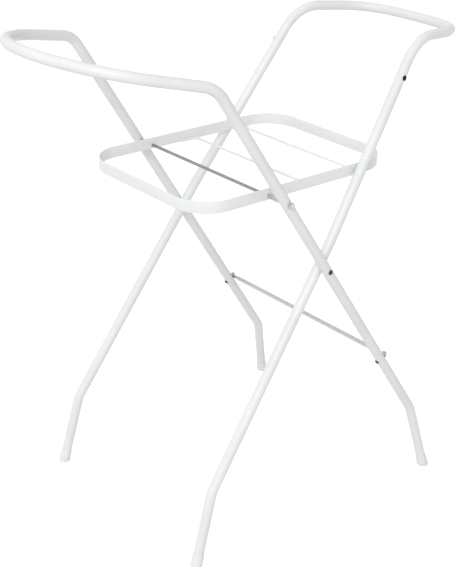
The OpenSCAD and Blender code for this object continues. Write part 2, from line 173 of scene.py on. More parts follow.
INNER_CROSS_HW = outer_hw(PIVOT_H) - 2 * TUBE_R - CROSSING_GAP
INNER_CORNER_HW = INNER_CROSS_HW - INNER_CORNER_IN
ELBOW_H = PIVOT_H + ELBOW_RISE
INNER_ELBOW_HW = INNER_CROSS_HW - INNER_KINK_OUT * ELBOW_RISE / (PIVOT_H - KINK_H)


def inner_hw(z):
    """Half width across the inner legs' centre lines at a height."""
    if z > ELBOW_H:
        return mix(INNER_ELBOW_HW, INNER_CORNER_HW, (z - ELBOW_H) / (CORNER_H - ELBOW_H))
    return mix(INNER_CROSS_HW, INNER_CROSS_HW + INNER_KINK_OUT, (PIVOT_H - z) / (PIVOT_H - KINK_H))


STUD_Z = BAND_Z + STUD_SEAT
STUD_X = (STUD_Z - PIVOT_H) * math.tan(LEAN)
BAND_HW = inner_hw(ROD_Z) - TUBE_R - BAND_GAP
BAR_X = (PIVOT_H - BAR_H) * math.tan(LEAN)
BAR_HW = outer_hw(BAR_H)
BAR_OFF = TUBE_R + BAR_FLAT_T / 2 + SEAT_GAP
BAR_ROUND_END = BAR_HW - TUBE_R - BAR_NECK
ROD_BORE_R = ROD_D / 2 + RUN_GAP

# How far the tubes lean out of the X-Z plane
OUTER_LEAN = math.atan((OUTER_KINK_HW - OUTER_CORNER_HW) * math.cos(LEAN) / (CORNER_H - KINK_H))
INNER_LEAN = math.atan(INNER_KINK_OUT * math.cos(LEAN) / (PIVOT_H - KINK_H))


def seat(r, side_lean):
    """How far out of a leaning tube's centre line an upright disc of radius r clears the tube."""
    return TUBE_R / math.cos(side_lean) + r * math.tan(side_lean) + SEAT_GAP


def inside_seat(r, side_lean):
    """How far out of its centre line such a disc can stand inside the tube's wall."""
    return math.sqrt((TUBE_R - TUBE_WALL) ** 2 - r * r) - r * math.tan(side_lean) - SEAT_GAP


# ---- paths of the two frames' centre lines, as points with bend radii ----


def leg(side, sign, kink_hw, foot_hw):
    """The kink of a leg and the end of its tube, which stops inside the foot cap."""
    kink = place(sign * KINK_X, side, kink_hw, KINK_H)
    foot = place(sign * FOOT_X, side, foot_hw, 0)
    return kink, foot, foot + (kink - foot).normalized() * CAP_FLOOR


def mirrored(half):
    """A path from its half on the left side, whose last point lies in the middle."""
    other = [(Vector((p.x, -p.y, p.z)), r) for p, r in reversed(half[:-1])]
    return half + other


def outer_path():
    kink, _, end = leg(-1, 1, OUTER_KINK_HW, OUTER_FOOT_HW)
    tip = OUTER_CORNER_HW / math.tan(OUTER_TAPER)
    bow_r = ((OUTER_CORNER_HW * math.cos(OUTER_TAPER) - OUTER_REACH * math.sin(OUTER_TAPER))
             / (1 - math.sin(OUTER_TAPER)))
    tip_at = Vector((PIVOT_X - CORNER_OUT - tip * math.cos(OUTER_TILT), 0,
                     CORNER_H + tip * math.sin(OUTER_TILT)))
    return mirrored([
        (end, 0), (kink, KINK_R), (place(-CORNER_OUT, -1, OUTER_CORNER_HW, CORNER_H), OUTER_CORNER_R),
        (tip_at, bow_r)])


def inner_bow(u, v):
    """A point in the inner bow's plane, u out from the corners and v across."""
    return Vector((PIVOT_X + CORNER_OUT + u * math.cos(INNER_TILT), v,
                   CORNER_H - u * math.sin(INNER_TILT)))


def inner_path():
    kink, _, end = leg(-1, -1, INNER_CROSS_HW + INNER_KINK_OUT, INNER_CROSS_HW + INNER_FOOT_OUT)
    turn = math.asin((INNER_CORNER_HW * math.cos(INNER_TAPER) - RAIL_END_R
                      - (INNER_REACH - RAIL_R) * math.sin(INNER_TAPER))
                     / (RAIL_R - RAIL_END_R)) - INNER_TAPER
    tip = INNER_REACH - RAIL_R + RAIL_R / math.cos(turn)
    tip_in = ((INNER_CORNER_HW - tip * math.tan(INNER_TAPER))
              / (1 / math.tan(turn) - math.tan(INNER_TAPER)))
    return mirrored([
        (end, 0), (kink, KINK_R),
        (place(ELBOW_RISE * math.tan(LEAN), -1, INNER_ELBOW_HW, ELBOW_H), ELBOW_R),
        (place(CORNER_OUT, -1, INNER_CORNER_HW, CORNER_H), INNER_CORNER_R),
        (inner_bow(tip - tip_in, -tip_in / math.tan(turn)), RAIL_END_R),
        (inner_bow(tip, 0), RAIL_R - RAIL_JOIN / math.tan(turn))])


ARC_STEP = math.radians(3)


def centre_line(path, step=ARC_STEP):
    """Points along a path, its bends as true arcs in equal steps."""
    line = []

    def add(point):
        if not line or (point - line[-1]).length > TINY:
            line.append(point)

    for i, (b, r) in enumerate(path):
        if r == 0:
            add(b)
            continue
        to_a = (path[i - 1][0] - b).normalized()
        to_c = (path[i + 1][0] - b).normalized()
        turn = math.pi - to_a.angle(to_c)
        start = b + to_a * r * math.tan(turn / 2)
        centre = b + (to_a + to_c).normalized() * r / math.cos(turn / 2)
        axis = (start - centre).cross(-to_a)
        count = max(2, math.ceil(turn / step))
        for k in range(count + 1):
            add(centre + Matrix.Rotation(turn * k / count, 3, axis) @ (start - centre))
    return line


# ---- mesh building ----


SHARP = math.radians(35)
TUBE_SIDES = 40
ROD_SIDES = 24
CUTTER_SIDES = 48
TURNED_SIDES = 64
TURNED_STEP = math.radians(22.5)
DOME_STEPS = 10


def add_object(name, bm, material):
    """An object from a bmesh, smooth but for its sharp edges."""
    bmesh.ops.recalc_face_normals(bm, faces=bm.faces)
    mesh = bpy.data.meshes.new(name)
    bm.to_mesh(mesh)
    bm.free()
    mesh.shade_smooth()
    mesh.set_sharp_from_angle(angle=SHARP)
    if material:
        mesh.materials.append(material)
    piece = bpy.data.objects.new(name, mesh)
    bpy.context.scene.collection.objects.link(piece)
    return piece


def bridge(bm, a, b):
    """Faces between two rings of as many points."""
    n = len(a)
    for k in range(n):
        bm.faces.new((a[k], a[(k + 1) % n], b[(k + 1) % n], b[k]))


def carried_frames(line):
    """Directions across the line at each point, carried along it without twist."""
    last = len(line) - 1
    tangents = []
    for i in range(last + 1):
        before = line[i] - line[i - 1] if i else line[1] - line[0]
        after = line[i + 1] - line[i] if i < last else line[-1] - line[-2]
        tangents.append((before.normalized() + after.normalized()).normalized())
    u = tangents[0].orthogonal().normalized()
    frames = []
    for i, t in enumerate(tangents):
        if i:
            u = tangents[i - 1].rotation_difference(t) @ u
        u = (u - t * u.dot(t)).normalized()
        frames.append((u, t.cross(u)))
    return frames


def sweep(bm, line, radius, sides=TUBE_SIDES):
    """Rings of a round section along a line; radius may be a function of the point's number."""
    rings = []
    for i, (p, (u, v)) in enumerate(zip(line, carried_frames(line))):
        r = radius(i) if callable(radius) else radius
        rings.append([bm.verts.new(p + (u * math.cos(a) + v * math.sin(a)) * r)
                      for a in (2 * math.pi * k / sides for k in range(sides))])
    for a, b in zip(rings, rings[1:]):
        bridge(bm, a, b)
    return rings


def pipe(line, outer_r, inner_r):
    """An open pipe with a wall."""
    bm = bmesh.new()
    outside = sweep(bm, line, outer_r)
    inside = sweep(bm, line, inner_r)
    bridge(bm, outside[0], inside[0])
    bridge(bm, outside[-1], inside[-1])
    return bm


def rod(line, radius, sides=ROD_SIDES):
    """A solid round rod."""
    bm = bmesh.new()
    rings = sweep(bm, line, radius, sides)
    bm.faces.new(rings[0])
    bm.faces.new(rings[-1])
    return bm


def outline(*corners):
    """(radius, height) points of a turned piece; a corner's third number rounds it."""
    path = [(Vector((c[0], 0, c[1])), c[2] if len(c) > 2 else 0) for c in corners]
    return [(p.x, p.z) for p in centre_line(path, TURNED_STEP)]


def dome(d, h, base):
    """Outline of a dome from its rim at height base to its top."""
    ball_r = (d * d / 4 + h * h) / (2 * h)
    rim = math.asin(min(1, d / 2 / ball_r))
    angles = [rim * (1 - k / DOME_STEPS) for k in range(DOME_STEPS + 1)]
    return [(ball_r * math.sin(a), base + h - ball_r + ball_r * math.cos(a)) for a in angles]


def turned(points, closed=False):
    """A piece turned about Z; a closed outline makes a ring."""
    bm = bmesh.new()
    turns = [2 * math.pi * k / TURNED_SIDES for k in range(TURNED_SIDES)]
    rings = []
    for r, z in points:
        if r < TINY:
            rings.append([bm.verts.new((0, 0, z))])
        else:
            rings.append([bm.verts.new((r * math.cos(a), r * math.sin(a), z)) for a in turns])
    if closed:
        rings.append(rings[0])
    for a, b in zip(rings, rings[1:]):
        if len(a) == len(b):
            bridge(bm, a, b)
            continue
        tip, ring = (a[0], b) if len(a) == 1 else (b[0], a)
        for k in range(TURNED_SIDES):
            bm.faces.new((tip, ring[k], ring[(k + 1) % TURNED_SIDES]))
    return bm


def ring_outline(inner_r, outer_r, height, edge):
    """Closed outline of a washer, spacer or sleeve with rounded rims, standing on Z = 0."""
    middle = (inner_r + outer_r) / 2
    return outline((middle, 0), (outer_r, 0, edge), (outer_r, height, edge),
                   (inner_r, height, edge), (inner_r, 0, edge), (middle, 0))[:-1]


def prism(points, y0, y1):
    """A polygon in the X-Z plane, given as Vectors, drawn out from y0 to y1."""
    bm = bmesh.new()
    ends = [[bm.verts.new((p.x, y, p.z)) for p in points] for y in (y0, y1)]
    bridge(bm, *ends)
    for end in ends:
        bm.faces.new(end)
    return bm


def moved(bm, matrix):
    """The mesh after a transform."""
    bmesh.ops.transform(bm, matrix=matrix, verts=bm.verts)
    return bm


def stood(bm, at, axis):
    """The mesh with its origin at a point and its Z axis along a direction."""
    return moved(bm, Matrix.Translation(at) @ axis.to_track_quat("Z", "Y").to_matrix().to_4x4())


def joined(parts):
    """One mesh from several."""
    total = bmesh.new()
    for part in parts:
        mesh = bpy.data.meshes.new("part")
        part.to_mesh(mesh)
        part.free()
        total.from_mesh(mesh)
        bpy.data.meshes.remove(mesh)
    return total


def carve(piece, operation, *cutters):
    """Change the piece by an exact boolean with each cutter, then delete the cutters."""
    for cutter in cutters:
        m = piece.modifiers.new("carve", "BOOLEAN")
        m.operation = operation
        m.solver = "EXACT"
        m.object = cutter
    bpy.context.view_layer.update()
    shape = bpy.data.meshes.new_from_object(piece.evaluated_get(bpy.context.evaluated_depsgraph_get()))
    piece.modifiers.clear()
    piece.data = shape
    shape.shade_smooth()
    shape.set_sharp_from_angle(angle=SHARP)
    for cutter in cutters:
        bpy.data.objects.remove(cutter)


def tool(bm):
    """A cutter for carve, which needs no material."""
    return add_object("tool", bm, None)


def rod_cutter(a, b, radius):
    """A round cutter from a to b."""
    return tool(rod([Vector(a), Vector(b)], radius, CUTTER_SIDES))


# ---- materials ----

# Nearly all of a noise lies between these
NOISE_LOW = 0.3
NOISE_HIGH = 0.7

COOL_CAST = (0.98, 1, 0.998)


def grey(v):
    return (v, v, v)


def cool_white(v):
    """White with a faint cool cast."""
    return tuple(v * share for share in COOL_CAST)


def shader(name):
    """A new material and its node tree, with a Principled shader."""
    m = bpy.data.materials.new(name)
    m.use_nodes = True
    tree = m.node_tree
    return m, tree, tree.nodes["Principled BSDF"]


def noise(tree, scale, detail, rough=0.55):
    """Noise over the piece's own coordinates; scale counts its cells in a metre."""
    where = tree.nodes.new("ShaderNodeTexCoord")
    n = tree.nodes.new("ShaderNodeTexNoise")
    n.inputs["Scale"].default_value = scale
    n.inputs["Detail"].default_value = detail
    n.inputs["Roughness"].default_value = rough
    tree.links.new(where.outputs["Object"], n.inputs["Vector"])
    return n.outputs["Fac"]


def tones(tree, value, dark, light):
    """A colour between two, by a noise."""
    r = tree.nodes.new("ShaderNodeValToRGB")
    for e, at, rgb in zip(r.color_ramp.elements, (NOISE_LOW, NOISE_HIGH), (dark, light)):
        e.position = at
        e.color = (*rgb, 1)
    tree.links.new(value, r.inputs["Fac"])
    return r.outputs["Color"]


def spread(tree, value, low, high):
    """A number between two, by a noise."""
    m = tree.nodes.new("ShaderNodeMapRange")
    m.inputs["From Min"].default_value = NOISE_LOW
    m.inputs["From Max"].default_value = NOISE_HIGH
    m.inputs["To Min"].default_value = low
    m.inputs["To Max"].default_value = high
    tree.links.new(value, m.inputs["Value"])
    return m.outputs["Result"]


def bump(tree, bsdf, height, distance, strength, under=None):
    """Relief of the shader's surface, on top of the relief under it."""
    b = tree.nodes.new("ShaderNodeBump")
    b.inputs["Distance"].default_value = distance
    b.inputs["Strength"].default_value = strength
    tree.links.new(height, b.inputs["Height"])
    if under is not None:
        tree.links.new(under, b.inputs["Normal"])
    tree.links.new(b.outputs["Normal"], bsdf.inputs["Normal"])
    return b.outputs["Normal"]


def powder_coat(name, level):
    """White powder coat: fine orange peel, a slow drift of tone, satin gloss."""
    m, tree, bsdf = shader(name)
    darker = 0.035
    lighter = 0.018
    drift = noise(tree, scale=9, detail=4)
    tree.links.new(tones(tree, drift, cool_white(level - darker), cool_white(level + lighter)),
                   bsdf.inputs["Base Color"])
    satin = noise(tree, scale=60, detail=4)
    tree.links.new(spread(tree, satin, low=0.3, high=0.42), bsdf.inputs["Roughness"])
    bsdf.inputs["Coat Weight"].default_value = 0.15
    bsdf.inputs["Coat Roughness"].default_value = 0.2
    peel = bump(tree, bsdf, noise(tree, scale=700, detail=2), distance=0.03 * MM, strength=0.6)
    bump(tree, bsdf, noise(tree, scale=150, detail=2), distance=0.05 * MM, strength=0.35, under=peel)
    return m


def moulded(name, level, roughness=0.5, gloss=0.5):
    """Matte moulded plastic with a fine spark-eroded grain."""
    m, tree, bsdf = shader(name)
    dark_share = 0.95
    uneven = 0.07
    bsdf.inputs["Specular IOR Level"].default_value = gloss
    cloud = noise(tree, scale=40, detail=3)
    tree.links.new(tones(tree, cloud, grey(level * dark_share), grey(level)), bsdf.inputs["Base Color"])
    patches = noise(tree, scale=300, detail=3)
    tree.links.new(spread(tree, patches, roughness - uneven, roughness + uneven), bsdf.inputs["Roughness"])
    grain = noise(tree, scale=1800, detail=3, rough=0.7)
    bump(tree, bsdf, grain, distance=0.04 * MM, strength=0.5)
    return m


def plated(name, level, roughness):
    """Plated steel: cloudy tone, uneven gloss, a fine grain."""
    m, tree, bsdf = shader(name)
    dark_share = 0.82
    smoother = 0.08
    rougher = 0.1
    bsdf.inputs["Metallic"].default_value = 1.0
    cloud = noise(tree, scale=120, detail=5)
    tree.links.new(tones(tree, cloud, grey(level * dark_share), grey(level)), bsdf.inputs["Base Color"])
    patches = noise(tree, scale=260, detail=4)
    tree.links.new(spread(tree, patches, roughness - smoother, roughness + rougher),
                   bsdf.inputs["Roughness"])
    grain = noise(tree, scale=1500, detail=4, rough=0.7)
    bump(tree, bsdf, grain, distance=0.02 * MM, strength=0.5)
    return m


# The finish of each of the record's material slots
FINISH = {
    "tube_paint": powder_coat("tube_coat", level=0.84),
    "band_paint": powder_coat("band_coat", level=0.88),
    "foot_plastic": moulded("foot_plastic", level=0.87),
    "spacer_plastic": moulded("spacer_plastic", level=0.8),
    "black_plastic": moulded("black_plastic", level=0.01, roughness=0.6, gloss=0.15),
    "bright_zinc": plated("bright_zinc_plate", level=0.64, roughness=0.3),
    "zinc": plated("zinc_plate", level=0.38, roughness=0.35),
    "dark_steel": plated("blackened_steel", level=0.07, roughness=0.4),
}
SLOT_OF = {part["node"]: part["material_slot"] for part in frame["record"]["subparts"]}
for node, shown in frame["nodes"].items():
    for kept in shown.material_slots:
        kept.material = FINISH[SLOT_OF[node]]

BODIES = frame["record"]["behaviour"]["bodies"]
BODY_OF = {node: body for body, nodes in BODIES.items() for node in nodes}


def stands_for(node, name, bm):
    """A new piece that shows in place of a CAD node, on its body and in its finish."""
    piece = add_object(name, bm, FINISH[SLOT_OF[node]])
    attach(piece, BODY_OF[node])
    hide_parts(node)
    return piece


# ---- the two frames ----


def cross_cutter(x, z, radius, half_width=2 * OUTER_FOOT_HW):
    """A cutter for one bore through both sides, at x from the crossing."""
    return rod_cutter((PIVOT_X + x, -half_width, z), (PIVOT_X + x, half_width, z), radius)


def at_bar(side):
    """The cross bar's frame at a leg: X down the leg, Z out of it."""
    return Matrix.Translation(place(BAR_X, side, BAR_HW, BAR_H)) @ Matrix.Rotation(
        math.pi / 2 - LEAN, 4, "Y")


def plug_frame(side):
    """Where a plug's stem crosses its leg's centre line, and the way it points."""
    plug_h = CORNER_H - PLUG_DROP
    elbow = place(ELBOW_RISE * math.tan(LEAN), side, INNER_ELBOW_HW, ELBOW_H)
    axis = (place(CORNER_OUT, side, INNER_CORNER_HW, CORNER_H) - elbow).normalized()
    under = Vector((math.cos(LEAN), 0, -math.sin(LEAN)))
    way = under * math.cos(PLUG_TURN) + Vector((0, side, 0)) * math.sin(PLUG_TURN)
    spot = place((plug_h - PIVOT_H) * math.tan(LEAN), side, inner_hw(plug_h), plug_h)
    return spot, (way - axis * way.dot(axis)).normalized()


def screw_cutters(reach):
    """The cross bar screws' bores, to a reach on either side of the legs' centre lines."""
    ends = [Vector((0, 0, -reach)), Vector((0, 0, reach))]
    return [tool(moved(rod(ends, SCREW_D / 2 + RUN_GAP), at_bar(side))) for side in SIDES]


def make_outer_frame():
    """The outer tube, drilled for the pivots, the shelf rod and the cross bar."""
    outer = stands_for("outer_frame", "outer_frame_tube",
                       pipe(centre_line(outer_path()), TUBE_R, TUBE_R - TUBE_WALL))
    carve(outer, "DIFFERENCE", cross_cutter(0, PIVOT_H, ROD_BORE_R),
          cross_cutter(ROD_X - PIVOT_X, ROD_Z, ROD_BORE_R), *screw_cutters(2 * TUBE_R))


def make_inner_frame():
    """The inner tube, drilled for the pivots, the hook studs and the plugs."""
    inner = stands_for("inner_frame", "inner_frame_tube",
                       pipe(centre_line(inner_path()), TUBE_R, TUBE_R - TUBE_WALL))
    plug_holes = [rod_cutter(spot, spot + way * 2 * TUBE_R, PLUG_STEM_D / 2 + SEAT_GAP)
                  for spot, way in map(plug_frame, SIDES)]
    rivet_holes = [rod_cutter(place(0, side, INNER_CROSS_HW, PIVOT_H),
                              place(0, side, INNER_CROSS_HW + 2 * TUBE_R, PIVOT_H), ROD_BORE_R)
                   for side in SIDES]
    carve(inner, "DIFFERENCE", cross_cutter(STUD_X, STUD_Z, STUD_D / 2 + SEAT_GAP, inner_hw(STUD_Z)),
          *rivet_holes, *plug_holes)


# ---- feet ----

CAP_MOUTH_R = 10.1 * MM
CAP_FLARE_H = 9 * MM
CAP_FLARE_R = 60 * MM
CAP_MOUTH_ROUND = 0.25 * MM
CAP_BORE_ROUND = 0.15 * MM
SOLE_ROUND = 3 * MM
SOLE_EDGE_H = 3.15 * MM
SOLE_PAST = 0.9 * MM


def foot_cap(node, side, sign, kink_hw, foot_hw):
    """A moulded cap that widens from its mouth, cut flat on the floor with a rounded edge."""
    kink, foot, _ = leg(side, sign, kink_hw, foot_hw)
    below = -2 * CAP_R
    shape = turned(outline(
        (0, below), (CAP_R, below), (CAP_R, CAP_FLARE_H, CAP_FLARE_R),
        (CAP_MOUTH_R, CAP_LEN, CAP_MOUTH_ROUND), (CAP_BORE_R, CAP_LEN, CAP_BORE_ROUND),
        (CAP_BORE_R, CAP_FLOOR), (0, CAP_FLOOR)))
    cap = stands_for(node, node + "_moulded", stood(shape, foot, kink - foot))
    sole_r = CAP_R + SOLE_PAST
    beside = 4 * CAP_R
    above = 2 * CAP_LEN
    sole = turned(outline((0, 0), (sole_r, 0, SOLE_ROUND), (sole_r, SOLE_EDGE_H),
                          (beside, 2 * SOLE_ROUND), (beside, above), (0, above)))
    slope = (kink - foot) / kink.z
    lean_with_leg = Matrix.Translation(foot)
    lean_with_leg[0][2] = slope.x
    lean_with_leg[1][2] = slope.y
    carve(cap, "INTERSECT", tool(moved(sole, lean_with_leg)))


def make_feet():
    """The four caps, two on each frame."""
    for side, word in zip(SIDES, ("left", "right")):
        foot_cap("outer_foot_cap_" + word, side, 1, OUTER_KINK_HW, OUTER_FOOT_HW)
        foot_cap("inner_foot_cap_" + word, side, -1, INNER_CROSS_HW + INNER_KINK_OUT,
                 INNER_CROSS_HW + INNER_FOOT_OUT)


# ---- shelf ----

BAND_EDGE = 0.7 * MM
EDGE_STEP = math.radians(30)
WIRE_STEP = math.radians(6)
BAND_BACK_X = ROD_X - BAND_BEHIND
BAND_FRONT_X = PIVOT_X + STUD_X + BAND_PAST


def band_line():
    """The band's centre line seen from above, as points and outward normals."""
    r = BAND_CORNER_R
    corners = ((BAND_FRONT_X - r, BAND_HW - r, 0), (BAND_BACK_X + r, BAND_HW - r, 90),
               (BAND_BACK_X + r, r - BAND_HW, 180), (BAND_FRONT_X - r, r - BAND_HW, 270))
    count = round(math.pi / 2 / ARC_STEP)
    line = []
    for x, y, start in corners:
        for k in range(count + 1):
            a = math.radians(start) + math.pi / 2 * k / count
            n = Vector((math.cos(a), math.sin(a), 0))
            line.append((Vector((x, y, 0)) + n * (r - BAND_T / 2), n))
    return line


def strip_section():
    """The strip's section as (outward, up) points, with rounded edges."""
    half = BAND_T / 2
    path = [(Vector((x, 0, z)), r) for x, z, r in (
        (0, 0, 0), (half, 0, BAND_EDGE), (half, BAND_H, BAND_EDGE),
        (-half, BAND_H, BAND_EDGE), (-half, 0, BAND_EDGE), (0, 0, 0))]
    return [(p.x, p.z) for p in centre_line(path, EDGE_STEP)][:-1]


def notch_prism():
    """The notch's ramp and flank, as in the CAD model."""
    notch_r = STUD_D / 2 + NOTCH_GAP
    flank = notch_r - NOTCH_FLANK_IN
    drop = STUD_SEAT + notch_r
    ramp = LEAN - RAMP_EASE
    ramp_x, ramp_z = -flank * math.sin(ramp), flank * math.cos(ramp)
    points = [(ramp_x, ramp_z), (0, 0), (flank, 0), (flank, -drop),
              (ramp_x - (ramp_z + drop) / math.tan(ramp), -drop)]
    at = place(STUD_X, 0, 0, STUD_Z)
    return prism([at + Vector((x, 0, z)) for x, z in points], -2 * BAND_HW, 2 * BAND_HW)


def make_band():
    """The strip, drilled for the rod and notched for the studs."""
    bm = bmesh.new()
    section = strip_section()
    rings = [[bm.verts.new(p + n * out + Vector((0, 0, BAND_Z + up))) for out, up in section]
             for p, n in band_line()]
    for a, b in zip(rings, rings[1:] + rings[:1]):
        bridge(bm, a, b)
    band = stands_for("shelf_band", "shelf_band_strip", bm)
    carve(band, "DIFFERENCE", cross_cutter(ROD_X - PIVOT_X, ROD_Z, ROD_BORE_R),
          cross_cutter(STUD_X, STUD_Z, STUD_D / 2 + NOTCH_GAP), tool(notch_prism()))


BEAD_LENGTH = 10 * MM
BEAD_R = 1.5 * MM
BEAD_RIPPLES = 5
BEAD_RIPPLE_SHARE = 0.08
BEAD_TIP_SHARE = 0.02
BEAD_BLUNTNESS = 4
BEAD_SINK = 0.35 * MM
BEAD_STEPS = 40
BEAD_SIDES = 16


def bead(middle):
    """A weld bead along X, rippled and drawn in at its ends."""
    start = middle - Vector((BEAD_LENGTH / 2, 0, 0))
    line = [start + Vector((BEAD_LENGTH * k / BEAD_STEPS, 0, 0)) for k in range(BEAD_STEPS + 1)]

    def thickness(k):
        t = k / BEAD_STEPS
        drawn_in = math.sqrt(max(BEAD_TIP_SHARE, 1 - (2 * t - 1) ** BEAD_BLUNTNESS))
        ripple = 1 + BEAD_RIPPLE_SHARE * math.sin(2 * math.pi * BEAD_RIPPLES * t)
        return BEAD_R * drawn_in * ripple

    return rod(line, thickness, BEAD_SIDES)


def make_wire(node, name, x, way, tab):
    """A wire across the shelf whose bent ends are welded to the strip."""
    wire_y = BAND_HW - BAND_T - WIRE_D * (1 + WIRE_SWELL) / 2
    z = BAND_Z + WIRE_D / 2
    reach = WIRE_BEND_R + tab
    line = centre_line(mirrored([(place(x + way * reach, -1, wire_y, z), 0),
                                 (place(x, -1, wire_y, z), WIRE_BEND_R),
                                 (place(x, -1, 0, z), 0)]), WIRE_STEP)
    welds = [bead(place(x + way * (reach - BEAD_LENGTH / 2), side,
                        BAND_HW - BAND_T - BEAD_R + BEAD_SINK, z + WIRE_D / 2)) for side in SIDES]
    stands_for(node, name, joined([rod(line, WIRE_D / 2), *welds]))


STUD_ROUND = 0.7 * MM
STUD_WELD_R = 1.6 * MM
STUD_WELD_H = 1.3 * MM
STUD_WELD_FILLET = 0.78 * MM
STUD_WELD_RIM_H = 0.52 * MM
STUD_WELD_RIM_R = 0.3 * MM


def make_studs():
    """Round-ended studs with a fillet of weld where they enter the legs."""
    tip_y = BAND_HW - BAND_T - STUD_PAST
    root = inner_hw(STUD_Z) - TUBE_R - tip_y
    length = root + 2 * TUBE_WALL
    r = STUD_D / 2
    shape = outline((0, 0), (r, 0, STUD_ROUND), (r, root - STUD_WELD_H, STUD_WELD_FILLET),
                    (r + STUD_WELD_R, root + STUD_WELD_RIM_H, STUD_WELD_RIM_R),
                    (r, root + STUD_WELD_H), (r, length), (0, length))
    stands_for("hook_studs", "hook_studs_welded", pair(shape, STUD_X, tip_y, STUD_Z))


# ---- turned hardware ----

HEAD_LAND = 0.4 * MM
UPSET_DISH = 0.36 * MM
UPSET_RIM_R = 0.5 * MM
UPSET_SIDE_R = 0.6 * MM
SPACER_EDGE = 0.35 * MM
SLEEVE_EDGE = 0.5 * MM
WASHER_EDGE = 0.25 * MM
ROD_END_R = 0.5 * MM
NUT_CHAMFER = 0.6
NUT_BORE_PAST = 1 * MM
DOME_SHARE = 0.92
DOME_LAND = 0.3 * MM
PLUG_LAND = 0.35 * MM
PLUG_STEM_TAPER = 0.4 * MM


def pair(points, x, y, z, closed=False):
    """The same turned piece on both sides of the stand, its Z axis outward."""
    return joined(stood(turned(points, closed), place(x, side, y, z), Vector((0, side, 0)))
                  for side in SIDES)


def make_pivots():
    """Rivets with a domed head outside and a formed end inside the inner frame's tube."""
    head_y = outer_hw(PIVOT_H) + seat(HEAD_D / 2, OUTER_LEAN)
    upset_y = INNER_CROSS_HW + inside_seat(UPSET_D / 2, INNER_LEAN) - SIDE_GAP
    reach = head_y - upset_y
    shape = [*outline((0, UPSET_DISH - UPSET_H), (UPSET_D / 4, -UPSET_H, UPSET_RIM_R),
                      (UPSET_D / 2, -UPSET_H / 2, UPSET_SIDE_R), (UPSET_D / 2, 0), (ROD_D / 2, 0)),
             (ROD_D / 2, reach), (HEAD_D / 2, reach),
             *dome(HEAD_D, HEAD_H - HEAD_LAND, reach + HEAD_LAND)]
    stands_for("pivot_rivets", "pivot_rivets_headed", pair(shape, 0, upset_y, PIVOT_H))
    spacer_t = CROSSING_GAP - SPACER_D * math.tan(INNER_LEAN) - SIDE_GAP
    spacer_y = outer_hw(PIVOT_H) - TUBE_R - CROSSING_GAP / 2 - spacer_t / 2
    spacer = ring_outline(ROD_BORE_R, SPACER_D / 2, spacer_t, SPACER_EDGE)
    stands_for("pivot_spacers", "pivot_spacers_moulded",
               pair(spacer, 0, spacer_y, PIVOT_H, closed=True))


def hex_prism(af, height):
    """A hexagon on Z = 0."""
    corners = [Vector((math.cos(a), 0, math.sin(a))) * af / math.sqrt(3)
               for a in (math.pi / 3 * k for k in range(6))]
    return moved(prism(corners, 0, height), Matrix.Rotation(math.pi / 2, 4, "X"))


def nut(af, height, bore, domed, matrix):
    """A hexagon with turned-down corners, drilled through or closed by a dome."""
    rim = af / math.sqrt(3)
    drop = (rim - af / 2) * NUT_CHAMFER
    body = add_object("nut", hex_prism(af, height), None)
    carve(body, "INTERSECT", tool(turned(outline(
        (0, 0), (af / 2, 0), (rim, drop), (rim, height - drop), (af / 2, height), (0, height)))))
    if domed:
        r = af / 2 * DOME_SHARE
        base = height + DOME_LAND
        carve(body, "UNION", tool(turned([
            (0, height / 2), (r, height / 2), (r, base), *dome(2 * r, r - DOME_LAND, base)[1:]])))
    top = height + (SEAT_GAP if domed else NUT_BORE_PAST)
    carve(body, "DIFFERENCE", rod_cutter((0, 0, -NUT_BORE_PAST), (0, 0, top), bore))
    bm = bmesh.new()
    bm.from_mesh(body.data)
    bpy.data.objects.remove(body)
    return moved(bm, matrix)


def make_rod():
    """The rod the shelf hangs on, with its sleeves, washers and cap nuts."""
    x = ROD_X - PIVOT_X
    washer_y = outer_hw(ROD_Z) + seat(WASHER_D / 2, OUTER_LEAN)
    cap_y = washer_y + WASHER_T
    end_y = cap_y + CAP_HEX_H
    bar = outline((0, -end_y), (ROD_D / 2, -end_y, ROD_END_R), (ROD_D / 2, end_y, ROD_END_R), (0, end_y))
    stands_for("shelf_rod", "shelf_rod_plated",
               stood(turned(bar), place(x, 0, 0, ROD_Z), Vector((0, 1, 0))))
    sleeve_y = BAND_HW + SIDE_GAP
    sleeve_h = outer_hw(ROD_Z) - seat(SLEEVE_D / 2, OUTER_LEAN) - sleeve_y
    sleeve = ring_outline(ROD_BORE_R, SLEEVE_D / 2, sleeve_h, SLEEVE_EDGE)
    stands_for("rod_sleeves", "rod_sleeves_plated", pair(sleeve, x, sleeve_y, ROD_Z, closed=True))
    washer = ring_outline(ROD_BORE_R, WASHER_D / 2, WASHER_T, WASHER_EDGE)
    stands_for("rod_washers", "rod_washers_plated", pair(washer, x, washer_y, ROD_Z, closed=True))
    seats = [Matrix.Translation(place(x, side, cap_y, ROD_Z)) @ Matrix.Rotation(-side * math.pi / 2, 4, "X")
             for side in SIDES]
    stands_for("rod_cap_nuts", "rod_cap_nuts_domed", joined(
        nut(NUT_AF, CAP_HEX_H, ROD_D / 2 + SEAT_GAP, True, at) for at in seats))


def make_plugs():
    """Plugs with a low domed head and a short tapered stem."""
    stem_r = PLUG_STEM_D / 2
    shape = [(0, -PLUG_STEM_H), (stem_r - PLUG_STEM_TAPER, -PLUG_STEM_H), (stem_r, -PLUG_STEM_H / 2),
             (stem_r, 0), (PLUG_D / 2, 0), *dome(PLUG_D, PLUG_HEAD_H - PLUG_LAND, PLUG_LAND)]
    stands_for("tube_plugs", "tube_plugs_moulded", joined(
        stood(turned(shape), spot + way * (TUBE_R + SEAT_GAP), way)
        for spot, way in map(plug_frame, SIDES)))


# ---- cross bar ----

